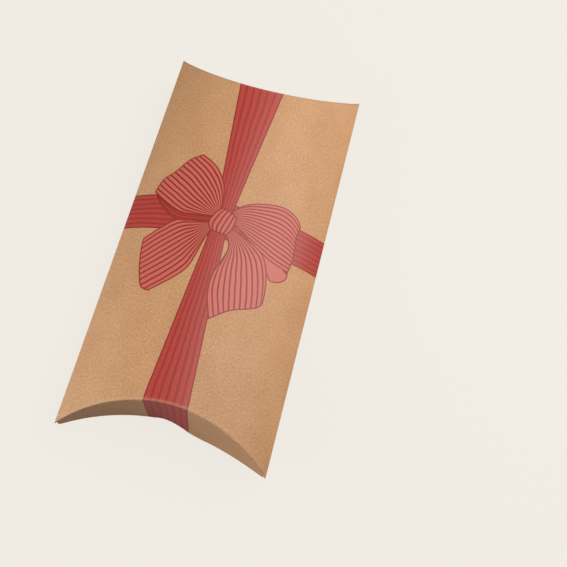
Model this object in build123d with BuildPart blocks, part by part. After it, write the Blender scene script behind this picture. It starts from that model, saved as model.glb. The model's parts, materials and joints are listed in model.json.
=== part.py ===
from build123d import *
from math import sqrt
import os

os.makedirs("parts", exist_ok=True)

# A pillow box: one die-cut sheet of kraft board, bowed into a tube with a glued side seam.
# Each end is shut by two lens-shaped flaps that fold along curved creases.
# X runs across the box, Y along it and Z up. It lies on its back panel, whose lowest line is at z = 0.

# Overall size in millimetres
box_width = 84.0  # from side fold to side fold
box_length = 175.0  # between the points of the two ends, where the curved creases start
bulge = 15.0  # rise of each panel's bow over the plane of the side folds
card = 0.45  # thickness of the kraft board

# Folds and creases
fold_width = 3.0  # strip of board that makes a side fold, measured across the box
fold_round = 0.3  # rounding outside a side fold
crease_height = 1.65  # strip of a flap that the curved score softens
crease_bevel = 0.12  # how deep the pressed score blunts the outside of a curved crease
running_gap = 0.15  # air between a flap and what it lies against

# Outer flaps
outer_flap_inset = 1.0  # how far a flap and its crease stop short of the side folds
edge_gap = 0.3  # how far the middle of the free edge stops short of the back panel's face
foot_rise = 10.0  # rise of the free edge's arc from its middle to the flap's ends
outer_flap_round = 2.5  # corners of the free edge
notch_width = 16.0  # thumb notch in the free edge
notch_depth = 3.0

# Inner flaps
inner_crease_inset = 3.5
inner_flap_inset = 6.0
inner_flap_height = 19.6  # free edge over the resting line, low enough to swing past the outer flap
inner_flap_round = 2.0  # corners of the free edge
flap_clearance = 0.6  # air between the inner flap's edge and the seam inside the front panel

# Side seam
seam_gap = 0.2  # between the glue flap and the front panel
glue = 0.1  # thickness of the glue line in that gap
seam_width = 12.0  # glue flap, from its fold to its free edge
seam_inset = 5.0  # how far the glue flap stops short of the ends at its fold
seam_taper = 45.0  # degrees, mitre at the ends of the glue flap
glue_margin = 1.5  # bare border round the glue line

# Every panel and flap bows on the same radius, so panel and flap meet along a plane at 45 degrees
half_width = box_width / 2
half_length = box_length / 2
box_height = 2 * bulge
bow_radius = (half_width**2 + bulge**2) / (2 * bulge)
bow_centre = bow_radius - bulge
front = 1
back = -1
ends = (("near", -1), ("far", 1))

inside_radius = bow_radius - card
seam_radius = inside_radius - seam_gap
glue_radius = inside_radius - (seam_gap - glue) / 2
seam_inside_radius = seam_radius - card
outer_face = bow_radius
outer_back = outer_face + card
inner_face = outer_back + running_gap
inner_back = inner_face + card
panel_half = half_width - fold_width
seam_length = box_length - 2 * seam_inset
outer_flap_half = half_width - outer_flap_inset
foot_radius = (outer_flap_half**2 + foot_rise**2) / (2 * foot_rise)
foot_level = edge_gap + foot_radius
notch_radius = (notch_width**2 / 4 + notch_depth**2) / (2 * notch_depth)
notch_level = edge_gap + notch_depth - notch_radius


def panel_disc(face, radius, mode=Mode.ADD):
    """Disc in the cross-section whose rim is the bow of the front or the back panel"""
    with Locations((0, bulge - face * bow_centre)):
        Circle(radius, mode=mode)


def end_disc(side, radius, mode=Mode.ADD):
    """Disc in plan, beyond one end, whose rim is the bow of that end's flaps"""
    with Locations((0, side * (half_length + bow_centre))):
        Circle(radius, mode=mode)


def across(low, high, mode=Mode.INTERSECT):
    """Keep what lies between two distances from the middle of the box, in section"""
    with Locations(((low + high) / 2, bulge)):
        Rectangle(high - low, box_height, mode=mode)


def panel_end(side):
    """Plan of all that is cut off a panel's end, which leaves a sharp corner beside each end of a flap"""
    end_disc(side, inner_face)
    Rectangle(2 * (outer_flap_half + running_gap), box_length, mode=Mode.INTERSECT)
    end_disc(side, outer_face)


def flap_plan(side, radius, half_span):
    """Plan of a bowed sheet of board at one end, out to half_span each way"""
    end_disc(side, radius + card)
    end_disc(side, radius, Mode.SUBTRACT)
    Rectangle(2 * half_span, box_length, mode=Mode.INTERSECT)


def crease_face(side, radius, face):
    """Plane that blunts a curved crease, parallel to the plane at 45 degrees that the crease lies in"""
    middle = (0, side * (half_length + bow_centre - radius), bulge + face * bulge)
    outwards = Plane(origin=middle, z_dir=(0, side, face))
    return outwards.offset(-crease_bevel)


# Front panel: bowed sheet from the left fold to its own raw edge over the seam
with BuildPart() as front_panel:
    with BuildSketch(Plane.XZ):
        panel_disc(front, bow_radius)
        panel_disc(front, inside_radius, Mode.SUBTRACT)
        across(-panel_half, half_width)
    extrude(amount=half_length, both=True)
    with BuildSketch(Plane.XY):
        for end, side in ends:
            panel_end(side)
    extrude(amount=box_height, mode=Mode.SUBTRACT)
front_panel.part.label = "front_panel"
export_step(front_panel.part, "parts/front_panel.step")

# Back panel: the same bow upside down, between the two side folds
with BuildPart() as back_panel:
    with BuildSketch(Plane.XZ):
        panel_disc(back, bow_radius)
        panel_disc(back, inside_radius, Mode.SUBTRACT)
        across(-panel_half, panel_half)
    extrude(amount=half_length, both=True)
    with BuildSketch(Plane.XY):
        for end, side in ends:
            end_disc(side, inner_back + running_gap)
    extrude(amount=box_height, mode=Mode.SUBTRACT)
back_panel.part.label = "back_panel"
export_step(back_panel.part, "parts/back_panel.step")

# Left side fold: the board turns from the front panel into the back panel
with BuildPart() as left_side_fold:
    with BuildSketch(Plane.XZ):
        panel_disc(front, bow_radius)
        panel_disc(back, bow_radius, Mode.INTERSECT)
        across(-half_width, -panel_half)
    extrude(amount=half_length, both=True)
    with BuildSketch(Plane.XZ):
        panel_disc(front, inside_radius)
        panel_disc(back, inside_radius, Mode.INTERSECT)
    extrude(amount=half_length, both=True, mode=Mode.SUBTRACT)
    fillet(left_side_fold.edges().filter_by(Axis.Y).sort_by(Axis.X)[0], radius=fold_round)
    with BuildSketch(Plane.XY):
        for end, side in ends:
            panel_end(side)
    extrude(amount=box_height, mode=Mode.SUBTRACT)
left_side_fold.part.label = "left_side_fold"
export_step(left_side_fold.part, "parts/left_side_fold.step")

# Right side fold: the back panel's board turns in under the front panel's raw edge
with BuildPart() as right_side_fold:
    with BuildSketch(Plane.XZ):
        panel_disc(front, seam_radius)
        panel_disc(back, bow_radius, Mode.INTERSECT)
        across(panel_half, half_width)
    extrude(amount=half_length, both=True)
    with BuildSketch(Plane.XZ):
        panel_disc(front, seam_inside_radius)
        panel_disc(back, inside_radius, Mode.INTERSECT)
    extrude(amount=half_length, both=True, mode=Mode.SUBTRACT)
    fillet(right_side_fold.edges().filter_by(Axis.Y).sort_by(Axis.X)[-1], radius=fold_round)
    with BuildSketch(Plane.XY):
        for end, side in ends:
            panel_end(side)
    extrude(amount=box_height, mode=Mode.SUBTRACT)
right_side_fold.part.label = "right_side_fold"
export_step(right_side_fold.part, "parts/right_side_fold.step")

# Glue flap: mitred strip that lies inside the front panel
with BuildPart() as glue_flap:
    with BuildSketch(Plane.XZ):
        panel_disc(front, seam_radius)
        panel_disc(front, seam_inside_radius, Mode.SUBTRACT)
        across(panel_half - seam_width, panel_half)
    extrude(amount=half_length, both=True)
    with BuildSketch(Plane.XY):
        with Locations((panel_half, 0)):
            Trapezoid(
                seam_length,
                seam_width,
                seam_taper,
                rotation=90,
                align=(Align.CENTER, Align.MIN),
            )
    extrude(amount=box_height, mode=Mode.INTERSECT)
glue_flap.part.label = "glue_flap"
export_step(glue_flap.part, "parts/glue_flap.step")

# Seam glue: the thin line that holds the glue flap to the front panel
with BuildPart() as seam_glue:
    with BuildSketch(Plane.XZ):
        panel_disc(front, glue_radius)
        panel_disc(front, glue_radius - glue, Mode.SUBTRACT)
        across(panel_half - seam_width, panel_half)
    extrude(amount=half_length, both=True)
    with BuildSketch(Plane.XY):
        with Locations((panel_half - glue_margin, 0)):
            Trapezoid(
                seam_length - 4 * glue_margin,
                seam_width - 2 * glue_margin,
                seam_taper,
                rotation=90,
                align=(Align.CENTER, Align.MIN),
            )
    extrude(amount=box_height, mode=Mode.INTERSECT)
seam_glue.part.label = "seam_glue"
export_step(seam_glue.part, "parts/seam_glue.step")

for end, side in ends:
    # Outer crease: the rounded edge where the front panel turns down into the outer flap
    with BuildPart() as outer_crease:
        with BuildSketch(Plane.XY):
            flap_plan(side, outer_face, outer_flap_half)
        extrude(amount=box_height)
        with BuildSketch(Plane.XZ):
            panel_disc(front, bow_radius)
            panel_disc(front, bow_radius - crease_height, Mode.SUBTRACT)
            across(-half_width, half_width)
        extrude(amount=half_length, both=True, mode=Mode.INTERSECT)
        split(bisect_by=crease_face(side, outer_face, front), keep=Keep.BOTTOM)
    outer_crease.part.label = f"{end}_outer_crease"
    export_step(outer_crease.part, f"parts/{end}_outer_crease.step")

    # Outer flap: bowed sheet that covers the end, with a thumb notch in its free edge
    with BuildPart() as outer_flap:
        with BuildSketch(Plane.XY):
            flap_plan(side, outer_face, outer_flap_half)
        extrude(amount=box_height)
        with BuildSketch(Plane.XZ):
            panel_disc(front, bow_radius - crease_height)
            with Locations((0, foot_level)):
                Circle(foot_radius, mode=Mode.INTERSECT)
            across(-outer_flap_half, outer_flap_half)
            fillet(vertices().sort_by(Axis.Y)[:2], radius=outer_flap_round)
            with Locations((0, notch_level)):
                Circle(notch_radius, mode=Mode.SUBTRACT)
        extrude(amount=half_length, both=True, mode=Mode.INTERSECT)
    outer_flap.part.label = f"{end}_outer_flap"
    export_step(outer_flap.part, f"parts/{end}_outer_flap.step")

    # Inner crease: the rounded edge where the back panel turns up into the inner flap
    with BuildPart() as inner_crease:
        with BuildSketch(Plane.XY):
            flap_plan(side, inner_face, half_width - inner_crease_inset)
        extrude(amount=box_height)
        with BuildSketch(Plane.XZ):
            panel_disc(back, bow_radius)
            panel_disc(back, bow_radius - crease_height, Mode.SUBTRACT)
            across(-half_width, half_width)
        extrude(amount=half_length, both=True, mode=Mode.INTERSECT)
        split(bisect_by=crease_face(side, inner_face, back), keep=Keep.BOTTOM)
    inner_crease.part.label = f"{end}_inner_crease"
    export_step(inner_crease.part, f"parts/{end}_inner_crease.step")

    # Inner flap: stands behind the outer flap, with its free edge cut lower
    with BuildPart() as inner_flap:
        with BuildSketch(Plane.XY):
            flap_plan(side, inner_face, half_width)
        extrude(amount=box_height)
        with BuildSketch(Plane.XZ):
            panel_disc(back, bow_radius - crease_height)
            panel_disc(front, seam_inside_radius - flap_clearance, Mode.INTERSECT)
            with Locations((0, inner_flap_height / 2)):
                Rectangle(
                    box_width - 2 * inner_flap_inset, inner_flap_height, mode=Mode.INTERSECT
                )
            fillet(vertices().sort_by(Axis.Y)[-4:], radius=inner_flap_round)
        extrude(amount=half_length, both=True, mode=Mode.INTERSECT)
    inner_flap.part.label = f"{end}_inner_flap"
    export_step(inner_flap.part, f"parts/{end}_inner_flap.step")
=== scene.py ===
"""Pillow box: a kraft gift carton with a printed ribbon and bow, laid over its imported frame."""

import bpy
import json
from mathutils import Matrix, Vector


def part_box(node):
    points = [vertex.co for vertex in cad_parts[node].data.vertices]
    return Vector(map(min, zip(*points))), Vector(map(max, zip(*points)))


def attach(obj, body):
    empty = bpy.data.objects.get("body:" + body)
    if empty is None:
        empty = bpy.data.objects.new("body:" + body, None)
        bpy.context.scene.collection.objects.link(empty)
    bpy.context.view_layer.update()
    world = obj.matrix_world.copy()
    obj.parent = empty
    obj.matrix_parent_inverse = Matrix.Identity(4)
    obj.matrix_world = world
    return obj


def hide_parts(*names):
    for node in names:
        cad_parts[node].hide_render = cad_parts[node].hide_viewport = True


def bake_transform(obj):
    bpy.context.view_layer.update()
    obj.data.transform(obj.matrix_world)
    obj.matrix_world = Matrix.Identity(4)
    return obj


bl_info = {
    "name": "Pillow Box",
    "version": (1, 0, 0),
    "blender": (4, 5, 0),
    "location": "3D View > Sidebar > Pillow Box",
    "description": "Lays printed kraft board over the frame of a curved-crease gift carton",
    "category": "Add Mesh",
}

import json
import math

import bpy
import numpy as np
from mathutils import Quaternion, Vector, kdtree

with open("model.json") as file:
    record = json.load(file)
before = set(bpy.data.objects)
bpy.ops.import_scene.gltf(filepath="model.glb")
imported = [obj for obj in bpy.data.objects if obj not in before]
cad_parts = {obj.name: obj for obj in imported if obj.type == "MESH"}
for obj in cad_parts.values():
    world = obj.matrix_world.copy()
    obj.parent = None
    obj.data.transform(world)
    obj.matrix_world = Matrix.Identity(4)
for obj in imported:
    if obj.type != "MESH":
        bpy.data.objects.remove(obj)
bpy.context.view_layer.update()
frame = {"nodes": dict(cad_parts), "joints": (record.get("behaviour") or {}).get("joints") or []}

MM = 0.001
front_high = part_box("front_panel")[1]
outer_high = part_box("far_outer_flap")[1]
inner_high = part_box("far_inner_flap")[1]
folds = {joint["name"]: joint for joint in frame["joints"]}
crest = Vector(folds["far_outer_fold"]["pos_m"])
ends = (("near", -1), ("far", 1))


def linear(hex_colour):
    """Turns an sRGB hex colour into linear red, green, blue and alpha"""
    shares = [int(hex_colour[place : place + 2], 16) / 255 for place in (1, 3, 5)]
    return (*[c / 12.92 if c <= 0.04045 else ((c + 0.055) / 1.055) ** 2.4 for c in shares], 1)


class PillowBoxSizes(bpy.types.PropertyGroup):
    """Sizes of the folded board, and of the ribbon printed on it"""

    half_width: bpy.props.FloatProperty(
        name="Half width",
        description="From the middle of the box to the line where front and back bows meet",
        default=front_high.x,
        unit="LENGTH",
    )
    bulge: bpy.props.FloatProperty(
        name="Bulge",
        description="Rise of each panel's bow over the plane of the side folds",
        default=crest.z / 2,
        unit="LENGTH",
    )
    half_length: bpy.props.FloatProperty(
        name="Half length",
        description="From the middle of the box to the points of its ends",
        default=crest.y + crest.z / 2,
        unit="LENGTH",
    )
    card: bpy.props.FloatProperty(
        name="Card",
        description="Thickness of the kraft board",
        default=0.45 * MM,
        unit="LENGTH",
    )
    crease_roll: bpy.props.FloatProperty(
        name="Crease roll",
        description="Radius outside a curved crease, from the panel's face to the flap's",
        default=0.6 * MM,
        unit="LENGTH",
    )
    fold_round: bpy.props.FloatProperty(
        name="Fold round",
        description="Radius outside a straight side fold",
        default=0.5 * MM,
        unit="LENGTH",
    )
    running_gap: bpy.props.FloatProperty(
        name="Running gap",
        description="Air between the outer flap's back and the inner flap's face",
        default=0.15 * MM,
        unit="LENGTH",
    )
    edge_gap: bpy.props.FloatProperty(
        name="Edge gap",
        description="How far an outer flap's free edge stops short of the back panel's face",
        default=0.3 * MM,
        unit="LENGTH",
    )
    notch_width: bpy.props.FloatProperty(
        name="Notch width",
        description="Thumb notch in an outer flap's free edge",
        default=16 * MM,
        unit="LENGTH",
    )
    notch_depth: bpy.props.FloatProperty(
        name="Notch depth",
        description="Depth of the thumb notch",
        default=3 * MM,
        unit="LENGTH",
    )
    outer_tip_inset: bpy.props.FloatProperty(
        name="Outer tip inset",
        description="How far an outer flap and its crease stop short of the side folds",
        default=front_high.x - outer_high.x,
        unit="LENGTH",
    )
    foot_rise: bpy.props.FloatProperty(
        name="Foot rise",
        description="Rise of an outer flap's free edge from its middle to the flap's ends",
        default=10 * MM,
        unit="LENGTH",
    )
    foot_round: bpy.props.FloatProperty(
        name="Foot round",
        description="Corners of an outer flap's free edge",
        default=2.5 * MM,
        unit="LENGTH",
    )
    flap_spring: bpy.props.FloatProperty(
        name="Flap spring",
        description="How far the right part of the near flap's free edge has sprung out",
        default=3.2 * MM,
        unit="LENGTH",
    )
    spring_width: bpy.props.FloatProperty(
        name="Spring width",
        description="Width over which the near flap kinks about its middle",
        default=22 * MM,
        unit="LENGTH",
    )
    inner_tip_inset: bpy.props.FloatProperty(
        name="Inner tip inset",
        description="How far an inner crease stops short of the side folds",
        default=3.5 * MM,
        unit="LENGTH",
    )
    inner_crease_height: bpy.props.FloatProperty(
        name="Inner crease height",
        description="Board left standing beside an inner flap, above the back panel's face",
        default=1.65 * MM,
        unit="LENGTH",
    )
    inner_ceiling_gap: bpy.props.FloatProperty(
        name="Inner ceiling gap",
        description="From the front panel's face to an inner flap's free edge at its corners",
        default=1.7 * MM,
        unit="LENGTH",
    )
    seam_gap: bpy.props.FloatProperty(
        name="Seam gap",
        description="Between the glue flap and the front panel",
        default=0.2 * MM,
        unit="LENGTH",
    )
    seam_width: bpy.props.FloatProperty(
        name="Seam width",
        description="Glue flap, from its fold to its free edge",
        default=12 * MM,
        unit="LENGTH",
    )
    seam_inset: bpy.props.FloatProperty(
        name="Seam inset",
        description="How far the glue flap stops short of the ends at its fold",
        default=5 * MM,
        unit="LENGTH",
    )
    fold_width: bpy.props.FloatProperty(
        name="Fold width",
        description="Strip of board that makes a side fold, measured across the box",
        default=3 * MM,
        unit="LENGTH",
    )
    print_step: bpy.props.FloatProperty(
        name="Print step",
        description="Spacing of mesh points under the bow, which carry the drawing",
        default=0.45 * MM,
        unit="LENGTH",
    )
    board_step: bpy.props.FloatProperty(
        name="Board step",
        description="Spacing of mesh points elsewhere",
        default=1.3 * MM,
        unit="LENGTH",
    )
    dent: bpy.props.FloatProperty(
        name="Dent",
        description="Depth of the faint waves that handling leaves in a bowed panel",
        default=0.16 * MM,
        unit="LENGTH",
    )


class PillowBoxColours(bpy.types.PropertyGroup):
    """Colours of the board, the ink and the floor"""

    kraft_light: bpy.props.FloatVectorProperty(
        name="Kraft, light fibres",
        description="Uncoated kraft face where pale fibres lie on top",
        subtype="COLOR",
        size=4,
        default=linear("#D6A375"),
    )
    kraft_dark: bpy.props.FloatVectorProperty(
        name="Kraft, dark fibres",
        description="Uncoated kraft face where darker pulp shows",
        subtype="COLOR",
        size=4,
        default=linear("#C08A5C"),
    )
    kraft_fleck: bpy.props.FloatVectorProperty(
        name="Kraft fleck",
        description="Single dark fibres and bark flecks",
        subtype="COLOR",
        size=4,
        default=linear("#8A5F3C"),
    )
    # Also the colour towards which wear, and the painted highlight along the near crease, pale the
    # face
    kraft_edge: bpy.props.FloatVectorProperty(
        name="Cut edge",
        description="Raw core of the board along a die-cut edge",
        subtype="COLOR",
        size=4,
        default=linear("#D8B48F"),
    )
    band_ink: bpy.props.FloatVectorProperty(
        name="Band ink",
        description="Red of the flat ribbon bands",
        subtype="COLOR",
        size=4,
        default=linear("#BA3A37"),
    )
    bow_ink: bpy.props.FloatVectorProperty(
        name="Bow ink",
        description="Lighter red of the bow's loops and tails",
        subtype="COLOR",
        size=4,
        default=linear("#D0655A"),
    )
    line_ink: bpy.props.FloatVectorProperty(
        name="Line ink",
        description="Deep red of the outlines and pleats",
        subtype="COLOR",
        size=4,
        default=linear("#8E1014"),
    )
    glue: bpy.props.FloatVectorProperty(
        name="Glue",
        description="Dried carton glue",
        subtype="COLOR",
        size=4,
        default=linear("#DCD3BC"),
    )
    floor: bpy.props.FloatVectorProperty(
        name="Floor",
        description="Pale floor and backdrop",
        subtype="COLOR",
        size=4,
        default=linear("#F1EDE5"),
    )


def bow_radius(sizes):
    """Radius on which every panel and flap bows"""
    return (sizes.half_width**2 + sizes.bulge**2) / (2 * sizes.bulge)


def bow(x, sizes, radius=None):
    """Height of a bow of that radius over the plane of the side folds, about the panels' centre"""
    full = bow_radius(sizes)
    radius = full if radius is None else radius
    return np.sqrt(radius**2 - x**2) - (full - sizes.bulge)


def end_line(x, sizes, offset=0.0):
    """How far along the box the plan curve of its end lies, with the offset measured inwards"""
    full = bow_radius(sizes)
    return sizes.half_length - bow(x, sizes, full + offset)


def sleeve_end(x, sizes, offset):
    """The same for the sleeve, whose corners stay sharp beside the outer flaps' ends"""
    corner = np.abs(x) > sizes.half_width - sizes.outer_tip_inset + sizes.running_gap / 2
    return end_line(x, sizes, np.where(corner, 0, offset))


def foot_line(x, sizes):
    """Height of an outer flap's free edge: a shallow arc, rounded corners and a thumb notch"""
    half = sizes.half_width - sizes.outer_tip_inset
    arc = (half**2 + sizes.foot_rise**2) / (2 * sizes.foot_rise)
    level = sizes.edge_gap + arc
    corner = half - sizes.foot_round
    corner_level = level - math.sqrt((arc - sizes.foot_round) ** 2 - corner**2)
    meets = corner * arc / (arc - sizes.foot_round)
    reach = np.clip(np.abs(x) - corner, 0, sizes.foot_round)
    foot = np.where(
        np.abs(x) < meets,
        level - np.sqrt(arc**2 - x**2),
        corner_level - np.sqrt(sizes.foot_round**2 - reach**2),
    )
    notch = (sizes.notch_width**2 / 4 + sizes.notch_depth**2) / (2 * sizes.notch_depth)
    cut = np.sqrt(np.maximum(notch**2 - x**2, 0)) - notch + sizes.notch_depth
    return np.maximum(foot, sizes.edge_gap + cut)


def graded(low, high, fine_low, fine_high, fine, coarse):
    """Values from low to high, closer together between fine_low and fine_high"""
    stretches = ((low, fine_low, coarse), (fine_low, fine_high, fine), (fine_high, high, coarse))
    values = [
        np.linspace(start, stop, max(2, math.ceil((stop - start) / step) + 1))[:-1]
        for start, stop, step in stretches
        if stop > start
    ]
    return np.append(np.concatenate(values), high)


# The print is drawn in the flat sheet, in millimetres: s runs round the sleeve from the middle of
# the front, and v along the box and on over its outer flaps. The knot has this place along v.
knot_place = 5.5

# Depth inside a part that all places far from it are given, how far round a part its depth is
# worked out, and the most that a place's share across the pleats may differ from its neighbour's
outside = -20.0
patch_margin = 1.5
share_slack = 0.05

# Points on each curve that a part is drawn from, and on each of its spans
curve_points = 101
span_points = 24

# Side curves of each part of the bow, from the knot outwards, and the curve that ends it
bow_parts = {
    "loop_right_inside": (
        ((14, -2), (19.8, -5.5), (22.2, -10), (24.6, -13)),
        ((18, -1), (25, -3.4), (31.6, -6.2)),
        ((24.6, -13), (28.2, -12.3), (31.4, -9.6), (31.6, -6.2)),
    ),
    "tail_left": (
        ((-4.8, 4.4), (-12.5, 3.8), (-19, 3.4), (-25.2, -1), (-32.2, -7)),
        ((-3.8, 1.2), (-5.5, -4), (-6.9, -11), (-8.8, -17.4), (-13.6, -23.2), (-21.8, -30)),
        ((-32.2, -7), (-31.4, -12.5), (-29.5, -20), (-26, -28.2), (-21.8, -30)),
    ),
    "tail_right": (
        ((1.4, 1.5), (4.4, -4), (3.6, -10), (1.5, -17), (1.7, -26), (5.2, -36.4)),
        ((3.6, 4.2), (12.5, 0.6), (18.5, -2.6), (22.2, -8.6), (24, -15.6), (24.6, -22.3)),
        ((5.2, -36.4), (12, -30.8), (19.4, -27.4), (23.4, -25), (24.6, -22.3)),
    ),
    "loop_left_inside": (
        ((-4.8, 5), (-12, 3.4), (-20.4, 3.2), (-28, 8.2), (-34.4, 15.4)),
        ((-5, 7.2), (-12, 6.4), (-19.4, 6.8), (-27, 10.6), (-34.4, 15.4)),
        ((-34.4, 15.4), (-34.4, 15.4)),
    ),
    "loop_left": (
        ((-5, 7), (-12, 6.2), (-19.4, 6.6), (-27, 10.4), (-34.4, 15.4)),
        ((-2.4, 11), (-2.8, 16.5), (-4.6, 23), (-9.4, 30), (-17, 35.2)),
        ((-34.4, 15.4), (-32.2, 21.6), (-27.6, 25.6), (-22.6, 31.8), (-17, 35.2)),
    ),
    "loop_right": (
        ((2, 11), (5, 14.6), (11, 18), (21.6, 20.6), (28.6, 19), (32, 15.8)),
        ((4.4, 5.6), (10.5, 1.6), (16, -1.6), (22.6, -4.6), (31.6, -6.4)),
        ((32, 15.8), (31.5, 9), (32.4, 1), (31.6, -6.4)),
    ),
    "knot": (
        ((-4.6, 0.8), (-6.2, 4.2), (-4.8, 8.8), (-2.2, 12)),
        ((2.4, -0.2), (4.2, 3.4), (4.9, 8.8)),
        ((-2.2, 12), (1.8, 11), (4.9, 8.8)),
    ),
}
band_parts = ("ribbon_across", "ribbon_along")

# How many pleats each part has, and the parts that are drawn in the deeper band ink
pleats = {
    "ribbon_across": 7,
    "ribbon_along": 6,
    "loop_right_inside": 1,
    "tail_left": 11,
    "tail_right": 11,
    "loop_left_inside": 3,
    "loop_left": 13,
    "loop_right": 13,
    "knot": 5,
}
deep_parts = ("ribbon_across", "ribbon_along", "loop_left_inside")

# Places and half widths of the printed bands. The one along the box narrows towards the knot, by
# these shares of the distance from it, out to taper_end. On the back it has one width.
along_middle = -1.1
along_half = 3.1
along_taper_far = 0.1
along_taper_near = 0.074
taper_end = 76
back_half = 8.8
across_lift = 0.6
across_half = 8.1


def smooth_line(points, count):
    """Evenly spaced places along a smooth curve through a few chosen points"""
    points = np.array(points, float)
    if np.ptp(points, axis=0).max() == 0:
        return np.repeat(points[:1], count, axis=0)
    guide = np.vstack((2 * points[0] - points[1], points, 2 * points[-1] - points[-2]))
    share = np.linspace(0, 1, span_points, endpoint=False)[:, None]
    spans = []
    for a, b, c, d in zip(guide, guide[1:], guide[2:], guide[3:]):
        square = 2 * a - 5 * b + 4 * c - d
        cube = 3 * b - a - 3 * c + d
        spans.append((2 * b + (c - a) * share + square * share**2 + cube * share**3) / 2)
    line = np.vstack((*spans, points[-1:]))
    reach = np.append(0, np.cumsum(np.linalg.norm(np.diff(line, axis=0), axis=1)))
    stops = np.linspace(0, reach[-1], count)
    return np.column_stack([np.interp(stops, reach, line[:, axis]) for axis in (0, 1)])


def pleated_patch(side_a, side_b, far_end, count=curve_points):
    """Places spread evenly over the area between two side curves, a short start and a far end"""
    first, second, last = (smooth_line(points, count) for points in (side_a, side_b, far_end))
    start = np.linspace(first[0], second[0], count)
    p = np.linspace(0, 1, count)[:, None, None]
    t = np.linspace(0, 1, count)[None, :, None]
    sides = (1 - p) * first[None] + p * second[None]
    caps = (1 - t) * start[:, None] + t * last[:, None]
    corners = (1 - p) * ((1 - t) * first[0] + t * first[-1]) + p * (
        (1 - t) * second[0] + t * second[-1]
    )
    return sides + caps - corners


def distance_inside(places, outline):
    """Distance to a closed outline, positive inside it"""
    start, stop = outline, np.roll(outline, -1, axis=0)
    along = stop - start
    gap = places[:, None] - start[None]
    share = (gap * along).sum(2) / np.maximum((along**2).sum(1), 1e-9)
    nearest = gap - np.clip(share, 0, 1)[..., None] * along
    distance = np.sqrt((nearest**2).sum(2).min(1))
    above = start[:, 1] > places[:, 1:2]
    crosses = above != (stop[:, 1] > places[:, 1:2])
    rise = np.where(np.abs(along[:, 1]) < 1e-9, 1e-9, along[:, 1])
    reach = start[:, 0] + (places[:, 1:2] - start[:, 1]) * along[:, 0] / rise
    inside = (crosses & (places[:, 0:1] < reach)).sum(1) % 2 == 1
    return np.where(inside, distance, -distance)


def patch_field(places, patch):
    """Distance inside the part, share across its pleats and its width there, for each place"""
    field = np.tile((outside, 0.0, 1.0), (len(places), 1))
    flat = patch.reshape(-1, 2)
    low, high = flat.min(0) - patch_margin, flat.max(0) + patch_margin
    near = ((places > low) & (places < high)).all(1)
    if not near.any():
        return field
    count = len(patch)
    tree = kdtree.KDTree(len(flat))
    for index, (s, v) in enumerate(flat):
        tree.insert((s, v, 0), index)
    tree.balance()
    nearest = np.array([tree.find((s, v, 0))[1] for s, v in places[near]])
    row, column = nearest // count, nearest % count
    across, along = np.gradient(patch, 1 / (count - 1), axis=(0, 1))
    first, second = across[row, column], along[row, column]
    gap = places[near] - patch[row, column]
    area = first[:, 0] * second[:, 1] - first[:, 1] * second[:, 0]
    area = np.where(np.abs(area) < 1, np.inf, area)
    step = (gap[:, 0] * second[:, 1] - gap[:, 1] * second[:, 0]) / area
    share = row / (count - 1) + np.clip(step, -share_slack, share_slack)
    outline = np.vstack((patch[:, 0], patch[-1, 1:], patch[-2::-1, -1], patch[0, -2:0:-1]))
    field[near, 0] = distance_inside(places[near], outline[::2])
    field[near, 1] = share
    field[near, 2] = np.linalg.norm(first, axis=1)
    return field


def band_field(across, half):
    """The same three values for a straight band, from the distance off its middle line"""
    return np.column_stack((half - np.abs(across), (across / half + 1) / 2, 2 * half))


def print_fields(sheet, on_front, bow_too):
    """All that the drawing needs at each place of the sheet, by part"""
    s, v = sheet[:, 0], sheet[:, 1]
    off = v - knot_place
    taper = np.where(off > 0, along_taper_far, along_taper_near)
    front_half = along_half + taper * np.minimum(np.abs(off), taper_end)
    half = front_half if on_front else np.full(len(s), back_half)
    middle = along_middle if on_front else wrap_half(bpy.context.scene.pillow_box_sizes)
    fields = {
        "ribbon_across": band_field(off - across_lift, np.full(len(s), across_half)),
        "ribbon_along": band_field(s - middle, half),
    }
    if bow_too:
        for name, curves in bow_parts.items():
            fields[name] = patch_field(sheet[:, :2], pleated_patch(*curves))
    return fields


def wrap_half(sizes):
    """Sheet coordinate s of the middle of the back, half way round the sleeve"""
    radius = bow_radius(sizes)
    return -2 * radius * math.asin(sizes.half_width / radius) / MM


smooth_below = math.radians(40)  # edges of the board that bend by more than this stay sharp


def lay_board(name, places, sheet, materials, sizes, bow_too=False, on_front=True):
    """One region of the board: a grid laid as its outer face, printed, and given its thickness"""
    rows, columns = places.shape[:2]
    bpy.ops.object.select_all(action="DESELECT")
    bpy.ops.mesh.primitive_grid_add(x_subdivisions=columns - 1, y_subdivisions=rows - 1, size=1)
    board = bpy.context.active_object
    board.name = name
    mesh = board.data
    mesh.name = name
    flat = np.empty(len(mesh.vertices) * 3)
    mesh.vertices.foreach_get("co", flat)
    flat = flat.reshape(-1, 3).round(6)
    order = np.lexsort((flat[:, 0], flat[:, 1]))
    laid = np.empty((len(order), 3))
    laid[order] = places.reshape(-1, 3)
    mesh.vertices.foreach_set("co", laid.ravel())
    drawn = np.empty((len(order), 3))
    drawn[order] = sheet.reshape(-1, 3)
    fields = print_fields(drawn, on_front, bow_too)
    fields["sheet_place"] = drawn
    for field_name, values in fields.items():
        layer = mesh.attributes.new(field_name, "FLOAT_VECTOR", "POINT")
        layer.data.foreach_set("vector", values.astype(np.float32).ravel())
    while mesh.uv_layers:
        mesh.uv_layers.remove(mesh.uv_layers[0])
    mesh.update()
    for material in materials:
        mesh.materials.append(material)
    wall = board.modifiers.new("card", "SOLIDIFY")
    wall.thickness = sizes.card
    wall.offset = -1
    wall.material_offset_rim = 1
    wall.material_offset = 2
    bpy.ops.object.modifier_apply(modifier=wall.name)
    bpy.ops.object.shade_smooth_by_angle(angle=smooth_below)
    return board


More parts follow.
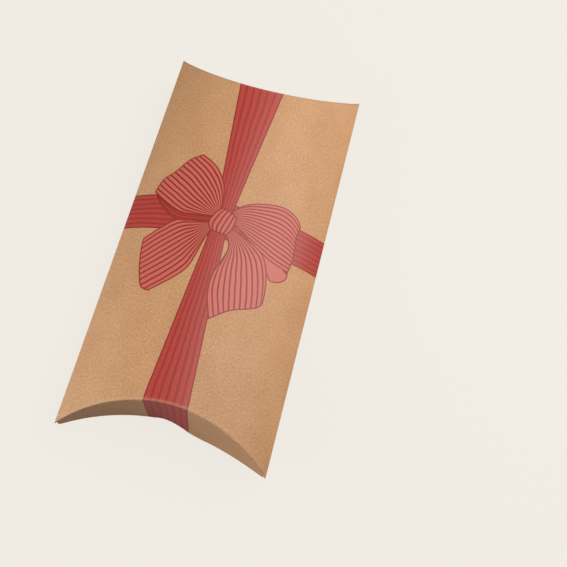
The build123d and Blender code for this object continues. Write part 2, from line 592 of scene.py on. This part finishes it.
def add(tree, kind, *values, sockets=None, **settings):
    """Adds a node with its settings, and fills or links its sockets, by order or by name"""
    node = tree.nodes.new(kind)
    for key, value in settings.items():
        setattr(node, key, value)
    for key, value in (dict(enumerate(values)) | (sockets or {})).items():
        if isinstance(value, bpy.types.Node):
            value = value.outputs[0]
        if isinstance(value, bpy.types.NodeSocket):
            tree.links.new(value, node.inputs[key])
        else:
            node.inputs[key].default_value = value
    return node


def new_material(name):
    """An empty node material, and its node tree"""
    material = bpy.data.materials.new(name)
    material.use_nodes = True
    material.node_tree.nodes.clear()
    return material, material.node_tree


def mix_colour(tree, share, first, second):
    """Sockets of a colour mix, which holds its colours at the sixth and seventh places"""
    return add(
        tree, "ShaderNodeMix", sockets={0: share, 6: first, 7: second}, data_type="RGBA"
    ).outputs[2]


def carried(tree, name):
    """The vector that the mesh's points carry under that name"""
    return add(
        tree, "ShaderNodeAttribute", attribute_type="GEOMETRY", attribute_name=name
    ).outputs["Vector"]


def noise(tree, place, scale, detail, roughness=0.5):
    """A noise pattern over a place"""
    sockets = {"Vector": place, "Scale": scale, "Detail": detail, "Roughness": roughness}
    return add(tree, "ShaderNodeTexNoise", sockets=sockets)


def soft_step(tree, value, edge, softness, start=0.0, stop=1.0):
    """A blurred step from one value to another, across an edge"""
    values = (value, edge - softness, edge + softness, start, stop)
    return add(tree, "ShaderNodeMapRange", *values, interpolation_type="SMOOTHSTEP")


fibre_height = 0.03 * MM  # in the relief of the board's faces


def surface(tree, colour, roughness, ior, height=None, strength=0.0):
    """Closes a material with its surface, in a relief of that height if one is given"""
    sockets = {"Base Color": colour, "Roughness": roughness, "IOR": ior}
    if height is not None:
        relief = {"Strength": strength, "Distance": fibre_height, "Height": height}
        sockets["Normal"] = add(tree, "ShaderNodeBump", sockets=relief)
    shader = add(tree, "ShaderNodeBsdfPrincipled", sockets=sockets)
    add(tree, "ShaderNodeOutputMaterial", shader)


# Uncoated kraft board, calendered on a paper machine: long brown fibres pressed flat, so the face
# is softly mottled, flecked with bark, and has a broad satin sheen at a low angle. Sizes are in
# millimetres. Each range holds the noise values where it starts and ends, and what it gives there.
cloud_size = 12.0
grain_size = 0.55
fleck_size = 0.9
fibre_stretch = 1.5
grain_roughness = 0.75
grain_weight = 4.0
tone_range = (2.0, 3.0, 0.0, 1.0)
bark_range = (0.63, 0.75, 0.0, 0.4)
pale_range = (0.38, 0.26, 0.0, 0.75)
fibre_ior = 1.5


def kraft_face(tree, place, colours):
    """Colour of bare kraft board and its grain, from the place in the sheet in millimetres"""
    stretched = add(
        tree, "ShaderNodeVectorMath", place, (1, 1 / fibre_stretch, 1), operation="MULTIPLY"
    )
    clouds = noise(tree, stretched, 1 / cloud_size, 2.0)
    grain = noise(tree, stretched, 1 / grain_size, 3.0, grain_roughness)
    both = add(tree, "ShaderNodeMath", grain, grain_weight, clouds, operation="MULTIPLY_ADD")
    tone = add(tree, "ShaderNodeMapRange", both, *tone_range)
    board = mix_colour(tree, tone, tuple(colours.kraft_dark), tuple(colours.kraft_light))
    flecks = noise(tree, place, 1 / fleck_size, 1.0)
    bark = add(tree, "ShaderNodeMapRange", flecks, *bark_range)
    pale = add(tree, "ShaderNodeMapRange", flecks, *pale_range)
    board = mix_colour(tree, bark, board, tuple(colours.kraft_fleck))
    return mix_colour(tree, pale, board, tuple(colours.kraft_edge)), grain


def place_in_sheet(tree):
    """The point's place in the flat sheet, and how much wear and the painted crease highlight pale
    it
    """
    across, along, wear_and_highlight = add(
        tree, "ShaderNodeSeparateXYZ", carried(tree, "sheet_place")
    ).outputs
    return add(tree, "ShaderNodeCombineXYZ", across, along, 0.0), wear_and_highlight


# Printed lines, in millimetres. A pleat line is never wider than line_share of its pleat. Those of
# the bands are softer and weaker. A slow noise lets the pleats wander by a share of their width.
line_width = 0.7
band_line_width = 0.9
outline_width = 0.56
line_share = 0.46
print_softness = 0.1
band_softness = 0.3
band_line_strength = 0.65
wobble_scale = 0.09
wobble_range = (0.3, 0.7, -0.09, 0.09)


def drawn_part(tree, name, wobble):
    """Masks of one printed part: where it covers the board, and where its dark lines run"""
    depth, share, width = add(tree, "ShaderNodeSeparateXYZ", carried(tree, name)).outputs
    cover = soft_step(tree, depth, 0.0, print_softness)
    rim = soft_step(tree, depth, outline_width, print_softness, 1.0, 0.0)
    full, softness, strength = line_width, print_softness, 1.0
    if name in band_parts:
        full, softness, strength = band_line_width, band_softness, band_line_strength
    count = pleats[name]
    steps = add(tree, "ShaderNodeMath", share, float(count), wobble, operation="MULTIPLY_ADD")
    off = add(tree, "ShaderNodeMath", steps, 0.5, operation="PINGPONG")
    spacing = add(tree, "ShaderNodeMath", width, 1 / count, operation="MULTIPLY")
    distance = add(tree, "ShaderNodeMath", off, spacing, operation="MULTIPLY")
    narrow = add(tree, "ShaderNodeMath", spacing, line_share / 2, operation="MULTIPLY")
    half = add(tree, "ShaderNodeMath", narrow, full / 2, operation="MINIMUM")
    beyond = add(tree, "ShaderNodeMath", distance, half, operation="SUBTRACT")
    line = soft_step(tree, beyond, 0.0, softness, strength, 0.0)
    return cover, add(tree, "ShaderNodeMath", line, rim, operation="MAXIMUM")


def over(tree, share, below, above):
    """A mask painted over another wherever the part covers it"""
    return add(tree, "ShaderNodeMix", sockets={0: share, 2: below, 3: above}, data_type="FLOAT")


# Offset ink soaks into uncoated board, so fibres still show through, and its binder gives the
# print a closer sheen than the bare board has.
soak_range = (0.35, 0.62, 0.84, 1.0)
board_roughness = 0.52
ink_roughness = 0.34
board_relief = 0.35


def printed_board(name, parts, colours):
    """Kraft board with the ribbon printed on it in two reds and a deep line colour"""
    material, tree = new_material(name)
    place, wear_and_highlight = place_in_sheet(tree)
    board, grain = kraft_face(tree, place, colours)
    drift = noise(tree, place, wobble_scale, 1.0)
    wobble = add(tree, "ShaderNodeMapRange", drift, *wobble_range)
    ink, lines, deep = 0.0, 0.0, 0.0
    for part in parts:
        cover, line = drawn_part(tree, part, wobble)
        ink = add(tree, "ShaderNodeMath", ink, cover, operation="MAXIMUM")
        lines = over(tree, cover, lines, line)
        deep = over(tree, cover, deep, 1.0 if part in deep_parts else 0.0)
    fill = mix_colour(tree, deep, tuple(colours.bow_ink), tuple(colours.band_ink))
    red = mix_colour(tree, lines, fill, tuple(colours.line_ink))
    soak = add(tree, "ShaderNodeMapRange", grain, *soak_range)
    laid = add(tree, "ShaderNodeMath", ink, soak, operation="MULTIPLY")
    colour = mix_colour(tree, laid, board, red)
    # Wear along the folds and creases, and a painted highlight along the near crease, pale the
    # face towards the cut edge's colour
    scuff_and_highlight = add(tree, "ShaderNodeMath", wear_and_highlight, grain, operation="MULTIPLY")
    colour = mix_colour(tree, scuff_and_highlight, colour, tuple(colours.kraft_edge))
    gloss = (0.0, 1.0, board_roughness, ink_roughness)
    roughness = add(tree, "ShaderNodeMapRange", laid, *gloss)
    surface(tree, colour, roughness, fibre_ior, grain, board_relief)
    return material


inside_roughness = 0.7
inside_relief = 0.5


def plain_board(name, colours):
    """Unprinted inside face of the same kraft board, rougher because it never met the press"""
    material, tree = new_material(name)
    board, grain = kraft_face(tree, place_in_sheet(tree)[0], colours)
    surface(tree, board, inside_roughness, fibre_ior, grain, inside_relief)
    return material


edge_scale = 2.2
edge_range = (0.3, 0.7, 0.0, 1.0)
edge_roughness = 0.85


def cut_edge(name, colours):
    """Die-cut edge of kraft board: torn pale fibres in layers along the cut, quite matt"""
    material, tree = new_material(name)
    fibres = noise(tree, place_in_sheet(tree)[0], edge_scale, 3.0)
    tone = add(tree, "ShaderNodeMapRange", fibres, *edge_range)
    colour = mix_colour(tree, tone, tuple(colours.kraft_dark), tuple(colours.kraft_edge))
    surface(tree, colour, edge_roughness, fibre_ior)
    return material


film_size = 2.5 * MM
film_range = (0.35, 0.65, 0.0, 1.0)
glue_roughness = 0.4
glue_ior = 1.48


def dried_glue(name, colours):
    """White carton glue dried in a thin film: cloudy, a little glossy, board showing through"""
    material, tree = new_material(name)
    place = add(tree, "ShaderNodeTexCoord").outputs["Object"]
    film = noise(tree, place, 1 / film_size, 2.0)
    tone = add(tree, "ShaderNodeMapRange", film, *film_range)
    colour = mix_colour(tree, tone, tuple(colours.kraft_light), tuple(colours.glue))
    surface(tree, colour, glue_roughness, glue_ior)
    return material


def board_finishes(printed):
    """Outer face, cut edge and inside face of a piece of board, in the order of its slots"""
    colours = bpy.context.scene.pillow_box_colours
    names = (printed, "kraft_board_cut_edge", "kraft_board_unprinted")
    parts = pleats if printed.endswith("bow") else band_parts
    makers = (
        lambda name: printed_board(name, parts, colours),
        lambda name: cut_edge(name, colours),
        lambda name: plain_board(name, colours),
    )
    return [bpy.data.materials.get(name) or maker(name) for name, maker in zip(names, makers)]


# How far from the middle of the front the bow's fine mesh reaches, and by what further share of
# the half length it does so along the box
bow_reach = 37 * MM
row_margin = 0.02


def sleeve_rows(sizes):
    """Shares of the half length at which the sleeve's mesh has points, closest under the bow"""
    reach = bow_reach / sizes.half_length + row_margin
    fine = sizes.print_step / sizes.half_length
    coarse = sizes.board_step / sizes.half_length
    rows = graded(-1, 1, -reach, reach, fine, coarse)
    return np.sort(np.append(rows, (fine - 1, 1 - fine)))


arc_points = 7  # on every small round: side folds, creases and corners


def fold_arc(sizes, radius_front):
    """Outside of the left side fold in section, from the back panel's face to the front's"""
    radius = bow_radius(sizes)
    rest = radius - sizes.bulge
    inner = radius_front - sizes.fold_round
    outer = radius - sizes.fold_round
    lift = (outer**2 - inner**2) / (4 * rest)
    reach = math.sqrt(inner**2 - (lift + rest) ** 2)
    start = math.atan2(lift - rest, -reach)
    stop = math.atan2(lift + rest, -reach)
    turn = np.linspace(start + 2 * math.pi if start < 0 else start, stop, arc_points)
    x = -reach + sizes.fold_round * np.cos(turn)
    z = sizes.bulge + lift + sizes.fold_round * np.sin(turn)
    return x, z


# How far the creases and the right side fold have worn to pale fibre. The near crease also carries
# a painted highlight on top of its wear, so its pale line is strong, and the far one has hardly
# any.
near_wear_and_highlight = 0.65
far_wear = 0.15
fold_wear = 0.35
wear_and_highlight_reach = 0.5 * MM


def wear_and_highlight_band(off):
    """Wear, and the painted highlight along the near crease, left at a distance off a crease"""
    return np.exp(-((off / wear_and_highlight_reach) ** 2))


# Faint waves of a handled panel: radians for each metre across and along, and where they start
wave_rates = (70, 52)
wave_starts = (0.8, 0.6)


def lay_sleeve(x, z, s, half, name, materials, sizes, paling=0.0, bow_too=False, on_front=True):
    """A stretch of the sleeve, from its section, its sheet coordinates and its half length"""
    rows = sleeve_rows(sizes)
    y = rows[:, None] * half[None]
    beside = np.clip((half_span(sizes) - np.abs(x)) / sizes.bulge, 0, 1)
    window = (1 - rows[:, None] ** 2) * beside
    across = np.sin(wave_rates[0] * x + wave_starts[0])
    waves = 0.5 + 0.5 * across[None] * np.cos(wave_rates[1] * y + wave_starts[1])
    depth = sizes.dent * window * waves * np.sign(z - sizes.bulge)
    places = np.stack((np.broadcast_to(x, y.shape), y, z - depth), axis=2)
    # The creases pale with wear, and the near one also with a painted highlight
    ends_wear_and_highlight = np.where(y < 0, near_wear_and_highlight, far_wear) * wear_and_highlight_band(half - np.abs(y))
    sheet = np.stack((np.broadcast_to(s, y.shape), y / MM, paling + ends_wear_and_highlight), axis=2)
    return lay_board(name, places, sheet, materials, sizes, bow_too, on_front)


def half_span(sizes):
    """Half the width over which a panel may wave, clear of its side folds"""
    return sizes.half_width - sizes.fold_width


# Points across the narrow strips of board, across the glue flap and across an inner flap, and rows
# up an outer and an inner flap
strip_points = 4
seam_points = 11
inner_points = 61
outer_rows = 24
inner_rows = 18


class PILLOWBOX_OT_front_board(bpy.types.Operator):
    """Lay the bowed front panel and the left side fold, from the raw edge over the seam"""

    bl_idname = "pillow_box.front_board"
    bl_label = "Front Board"

    def execute(self, context):
        sizes = context.scene.pillow_box_sizes
        radius = bow_radius(sizes)
        fold_x, fold_z = fold_arc(sizes, radius)
        under_x = np.linspace(-half_span(sizes), fold_x[0], strip_points)[:-1]
        under_z = sizes.bulge - bow(under_x, sizes)
        start = math.asin(fold_x[-1] / radius)
        stop = math.asin(sizes.half_width / radius)
        fine = bow_reach / radius
        turn = graded(
            start, stop, -fine, fine, sizes.print_step / radius, sizes.board_step / radius
        )[1:]
        step = math.asin((sizes.half_width - sizes.outer_tip_inset) / radius)
        beside = sizes.running_gap / radius
        turn = turn[np.abs(np.abs(turn) - step) > 2 * beside]
        turn = np.sort(np.append(turn, (-step - beside, -step, step, step + beside)))
        x = np.concatenate((under_x, fold_x, radius * np.sin(turn)))
        z = np.concatenate((under_z, fold_z, radius * np.cos(turn) - radius + 2 * sizes.bulge))
        s = np.append(0, np.cumsum(np.hypot(np.diff(x), np.diff(z))))
        s = (s - s[-1] + radius * stop) / MM
        on_back = np.arange(len(x)) < len(under_x)
        offset = sizes.crease_roll * (1 + on_back)
        board = lay_sleeve(
            x,
            z,
            s,
            sleeve_end(x, sizes, offset),
            "front_board",
            board_finishes("kraft_board_printed_with_bow"),
            sizes,
            bow_too=True,
        )
        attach(board, "sleeve")
        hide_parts("front_panel", "left_side_fold")
        return {"FINISHED"}


class PILLOWBOX_OT_back_board(bpy.types.Operator):
    """Lay the bowed back panel, the right side fold and the mitred glue flap as one stretch"""

    bl_idname = "pillow_box.back_board"
    bl_label = "Back Board"

    def execute(self, context):
        sizes = context.scene.pillow_box_sizes
        radius = bow_radius(sizes)
        seam_radius = radius - sizes.card - sizes.seam_gap
        fold_x, fold_z = fold_arc(sizes, seam_radius)
        fold_x, fold_z = -fold_x[::-1], fold_z[::-1]
        free_edge = half_span(sizes) - sizes.seam_width
        flap_x = np.linspace(free_edge, half_span(sizes), seam_points)
        flap_z = sizes.bulge + bow(flap_x, sizes, seam_radius)
        count = math.ceil((fold_x[-1] + half_span(sizes)) / sizes.board_step)
        turn = np.arcsin(np.linspace(fold_x[-1], -half_span(sizes), count) / radius)[1:]
        x = np.concatenate((flap_x, fold_x, radius * np.sin(turn)))
        z = np.concatenate((flap_z, fold_z, radius - radius * np.cos(turn)))
        s = np.append(0, np.cumsum(np.hypot(np.diff(x), np.diff(z)))) / MM
        s = s - s[-1] + wrap_half(sizes) + radius * math.asin(half_span(sizes) / radius) / MM
        place = np.arange(len(x))
        on_flap = place < len(flap_x)
        on_fold = (place >= len(flap_x)) & (place < len(flap_x) + len(fold_x))
        half = sleeve_end(x, sizes, sizes.crease_roll * np.where(on_fold, 1, 2))
        mitred = sizes.half_length - sizes.seam_inset - (half_span(sizes) - x)
        half = np.where(on_flap, mitred, half)
        off_fold = place - len(flap_x) - len(fold_x) / 2
        paling = np.exp(-((off_fold / (arc_points // 2 + 1)) ** 2)) * fold_wear
        board = lay_sleeve(
            x,
            z,
            s,
            half,
            "back_board",
            board_finishes("kraft_board_printed"),
            sizes,
            paling,
            on_front=False,
        )
        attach(board, "sleeve")
        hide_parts("back_panel", "right_side_fold", "glue_flap")
        return {"FINISHED"}


def lay_end_flap(end, side, which, places, sheet, sizes):
    """One end flap, in two halves that meet in its middle"""
    outer = which == "outer"
    finish = "kraft_board_printed" if outer else "kraft_board_unprinted"
    middle = places.shape[1] // 2
    for half, towards, kept in (
        ("left", 1, slice(None, middle + 1)),
        ("right", -1, slice(middle, None)),
    ):
        laid, drawn = places[:, kept], sheet[:, kept]
        if side > 0:
            laid, drawn = laid[:, ::-1], drawn[:, ::-1]
        flap = lay_board(
            f"{end}_{which}_flap_board_{half}",
            laid,
            drawn,
            board_finishes(finish),
            sizes,
            on_front=outer,
        )
        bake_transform(flap)
        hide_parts(f"{end}_{which}_flap", f"{end}_{which}_crease")


# Share of the near flap's kink that lies left of its middle, and the power by which the spring
# fades towards the flap's tips
kink_left = 0.36
spring_fade = 4

notch_margin = 1 * MM
quarter_turn = np.linspace(0, math.pi / 2, arc_points)[:, None]


class PILLOWBOX_OT_outer_flaps(bpy.types.Operator):
    """Lay the outer end flaps with their curved creases, thumb notches and run of ribbon"""

    bl_idname = "pillow_box.outer_flaps"
    bl_label = "Outer Flaps"

    def execute(self, context):
        sizes = context.scene.pillow_box_sizes
        radius = bow_radius(sizes)
        tip = sizes.half_width - sizes.outer_tip_inset
        notch = sizes.notch_width / 2 + notch_margin
        middle = graded(0, tip, 0, notch, sizes.board_step / 2, sizes.board_step)
        corner = tip - sizes.foot_round + sizes.foot_round * np.sin(quarter_turn[1:, 0])
        right = np.append(middle[middle < corner[0] - sizes.board_step / 4], corner)
        x = np.concatenate((-right[:0:-1], right))
        turn = np.arcsin(x / radius)
        top = sizes.bulge + bow(x, sizes)
        foot = foot_line(x, sizes)
        face = end_line(x, sizes)
        roll = sizes.crease_roll
        share = np.linspace(0, 1, outer_rows)[:-1, None]
        straight = top - roll - foot
        z = np.vstack((foot + share * straight, top - roll + roll * np.sin(quarter_turn)))
        y = np.vstack((face + 0 * share, face - roll + roll * np.cos(quarter_turn)))
        round_crease = roll * (math.pi / 2 - quarter_turn) + 0 * x
        below = np.vstack((straight * (1 - share) + roll * math.pi / 2, round_crease))
        v = (face - roll + below) / MM
        s = np.broadcast_to(radius * turn / MM, v.shape)
        kinked = np.clip(x / sizes.spring_width + kink_left, 0, 1)
        sprung = sizes.flap_spring * kinked**2 * (3 - 2 * kinked)
        sprung = sprung * (1 - (x / tip) ** spring_fade) * (top - z) / (top - foot)
        for end, side in ends:
            # The crease roll pales with wear, and on the near flap also with a painted highlight
            paling = (near_wear_and_highlight if side < 0 else far_wear) * wear_and_highlight_band(below)
            out = y + sprung if side < 0 else y
            places = np.stack((np.broadcast_to(x, y.shape), side * out, z), axis=2)
            sheet = np.stack((s, side * v, paling), axis=2)
            lay_end_flap(end, side, "outer", places, sheet, sizes)
        return {"FINISHED"}


class PILLOWBOX_OT_inner_flaps(bpy.types.Operator):
    """Lay the unprinted end flaps that stand behind the outer ones, with their curved creases"""

    bl_idname = "pillow_box.inner_flaps"
    bl_label = "Inner Flaps"

    def execute(self, context):
        sizes = context.scene.pillow_box_sizes
        radius = bow_radius(sizes)
        tip = sizes.half_width - sizes.inner_tip_inset
        flap_tip = inner_high.x
        beside = np.linspace(flap_tip, tip, strip_points)
        middle = np.linspace(-flap_tip, flap_tip, inner_points)
        x = np.concatenate((-beside[::-1], middle, beside))
        standing = np.arange(len(x))
        standing = (standing >= len(beside)) & (standing < len(x) - len(beside))
        foot = sizes.bulge - bow(x, sizes)
        ceiling = sizes.bulge + bow(x, sizes, radius - sizes.inner_ceiling_gap)
        free_edge = np.minimum(inner_high.z, ceiling)
        top = np.where(standing, free_edge, foot + sizes.inner_crease_height)
        face = end_line(x, sizes, sizes.card + sizes.running_gap)
        roll = sizes.crease_roll
        share = np.linspace(0, 1, inner_rows)[1:, None]
        straight = top - roll - foot
        round_crease = foot + roll - roll * np.cos(quarter_turn)
        z = np.vstack((round_crease, foot + roll + share * straight))
        y = np.vstack((face - roll + roll * np.sin(quarter_turn), face + 0 * share))
        rise = np.vstack((roll * quarter_turn + 0 * x, roll * math.pi / 2 + share * straight))
        v = (face - roll + rise) / MM
        s = wrap_half(sizes) - radius * np.arcsin(x / radius) / MM
        s = np.broadcast_to(s, v.shape)
        paling = near_wear_and_highlight * wear_and_highlight_band(rise)
        for end, side in ends:
            places = np.stack((np.broadcast_to(x, y.shape), side * y, z), axis=2)
            sheet = np.stack((s, side * v, paling), axis=2)
            lay_end_flap(end, side, "inner", places, sheet, sizes)
        return {"FINISHED"}


class PILLOWBOX_OT_seam_glue(bpy.types.Operator):
    """Give the glue line inside the side seam its dried look"""

    bl_idname = "pillow_box.seam_glue"
    bl_label = "Seam Glue"

    def execute(self, context):
        glue = frame["nodes"]["seam_glue"]
        finish = dried_glue("dried_carton_glue", context.scene.pillow_box_colours)
        if not glue.material_slots:
            glue.data.materials.append(finish)
        for slot in glue.material_slots:
            slot.material = finish
        return {"FINISHED"}


# Lamps: a wide soft window behind on the right, which gives the front its broad sheen and falls
# off towards the near end, and a weaker one at the near left, which lights the near flap's right
# half. The world lights the rest by its share.
key_towards = (0.48, 0.29, 0.83)
key_share = 1.1
key_distance = 0.37
key_size = 0.42
key_tint = (1.0, 0.98, 0.95)
fill_towards = (-0.82, -0.52, 0.26)
fill_share = 0.88
fill_distance = 0.39
fill_size = 0.3
fill_tint = (0.9, 0.95, 1.0)
world_share = 0.14

# How far the floor lies under the object, how much of its look is its plain colour, the distances
# over which the object's shadow fades from it, and the duller colour that it sends back
floor_drop = 0.05 * MM
floor_size = 6
glow_share = 0.92
shadow_reach = (110 * MM, 240 * MM)
floor_return = (0.42, 0.41, 0.4, 1)

# Camera at the photo's angle, with its angles in degrees and its lens and sensor in millimetres
lens = 52.06
sensor = 36.0
view_middle = (29.5 * MM, -8.1 * MM, 15 * MM)
view_azimuth = 4.56
view_elevation = 68.16
view_roll = 10.02
view_distance = 342 * MM


def lamp(name, towards, share, distance, size, tint):
    """A wide lamp whose light makes a face square to it show that share of its own colour"""
    towards = Vector(towards).normalized()
    bpy.ops.object.light_add(type="AREA", location=towards * distance)
    light = bpy.context.active_object
    light.name = name
    light.rotation_euler = towards.to_track_quat("Z", "Y").to_euler()
    light.data.energy = share * math.pi**2 * distance**2
    light.data.size = size
    light.data.color = tint


def pale_floor(name, colours):
    """Plain pale floor: the camera sees its colour, with a softened shadow round the object"""
    material, tree = new_material(name)
    matt = add(tree, "ShaderNodeBsdfDiffuse", tuple(colours.floor))
    glow = add(tree, "ShaderNodeEmission", tuple(colours.floor), 1.0)
    dull = add(tree, "ShaderNodeBsdfDiffuse", floor_return)
    path = add(tree, "ShaderNodeLightPath")
    place = add(tree, "ShaderNodeTexCoord")
    distance = add(tree, "ShaderNodeVectorMath", place.outputs["Object"], operation="LENGTH")
    softened = add(
        tree, "ShaderNodeMapRange", distance.outputs["Value"], *shadow_reach, glow_share, 1.0
    )
    seen = add(tree, "ShaderNodeMixShader", softened, matt, glow)
    both = add(tree, "ShaderNodeMixShader", path.outputs["Is Camera Ray"], dull, seen)
    add(tree, "ShaderNodeOutputMaterial", both)
    return material


class PILLOWBOX_OT_stage(bpy.types.Operator):
    """Set the pale floor, the soft lamps, the backdrop and the camera"""

    bl_idname = "pillow_box.stage"
    bl_label = "Stage"

    def execute(self, context):
        scene = context.scene
        colours = scene.pillow_box_colours
        bpy.ops.object.select_all(action="DESELECT")
        bpy.ops.mesh.primitive_plane_add(size=floor_size, location=(0, 0, -floor_drop))
        floor = context.active_object
        floor.name = "floor"
        floor.data.materials.append(pale_floor("pale_floor", colours))
        lamp("key_light", key_towards, key_share, key_distance, key_size, key_tint)
        lamp("fill_light", fill_towards, fill_share, fill_distance, fill_size, fill_tint)
        world = bpy.data.worlds.new("backdrop")
        world.use_nodes = True
        scene.world = world
        tree = world.node_tree
        tree.nodes.clear()
        path = add(tree, "ShaderNodeLightPath")
        around = add(tree, "ShaderNodeBackground", (1, 1, 1, 1), world_share)
        shown = add(tree, "ShaderNodeBackground", tuple(colours.floor), 1.0)
        both = add(tree, "ShaderNodeMixShader", path.outputs["Is Camera Ray"], around, shown)
        add(tree, "ShaderNodeOutputWorld", both)
        azimuth, elevation = math.radians(view_azimuth), math.radians(view_elevation)
        away = Vector(
            (
                math.sin(azimuth) * math.cos(elevation),
                -math.cos(azimuth) * math.cos(elevation),
                math.sin(elevation),
            )
        )
        bpy.ops.object.camera_add(location=Vector(view_middle) + view_distance * away)
        camera = context.active_object
        turned = away.to_track_quat("Z", "Y") @ Quaternion((0, 0, 1), math.radians(view_roll))
        camera.rotation_euler = turned.to_euler()
        camera.data.lens = lens
        camera.data.sensor_width = sensor
        camera.data.clip_start = 1 * MM
        scene.camera = camera
        scene.view_settings.view_transform = "Standard"
        return {"FINISHED"}


class PILLOWBOX_PT_panel(bpy.types.Panel):
    """Pillow box steps"""

    bl_idname = "PILLOWBOX_PT_panel"
    bl_label = "Pillow Box"
    bl_space_type = "VIEW_3D"
    bl_region_type = "UI"
    bl_category = "Pillow Box"

    def draw(self, context):
        column = self.layout.column()
        for step in steps:
            column.operator(step.bl_idname)


steps = (
    PILLOWBOX_OT_stage,
    PILLOWBOX_OT_front_board,
    PILLOWBOX_OT_back_board,
    PILLOWBOX_OT_outer_flaps,
    PILLOWBOX_OT_inner_flaps,
    PILLOWBOX_OT_seam_glue,
)
classes = (PillowBoxSizes, PillowBoxColours, *steps, PILLOWBOX_PT_panel)


def register():
    for item in classes:
        bpy.utils.register_class(item)
    bpy.types.Scene.pillow_box_sizes = bpy.props.PointerProperty(type=PillowBoxSizes)
    bpy.types.Scene.pillow_box_colours = bpy.props.PointerProperty(type=PillowBoxColours)


def unregister():
    del bpy.types.Scene.pillow_box_colours
    del bpy.types.Scene.pillow_box_sizes
    for item in reversed(classes):
        bpy.utils.unregister_class(item)


def main():
    register()
    bpy.ops.pillow_box.stage()
    bpy.ops.pillow_box.front_board()
    bpy.ops.pillow_box.back_board()
    bpy.ops.pillow_box.outer_flaps()
    bpy.ops.pillow_box.inner_flaps()
    bpy.ops.pillow_box.seam_glue()


if __name__ == "__main__":
    main()
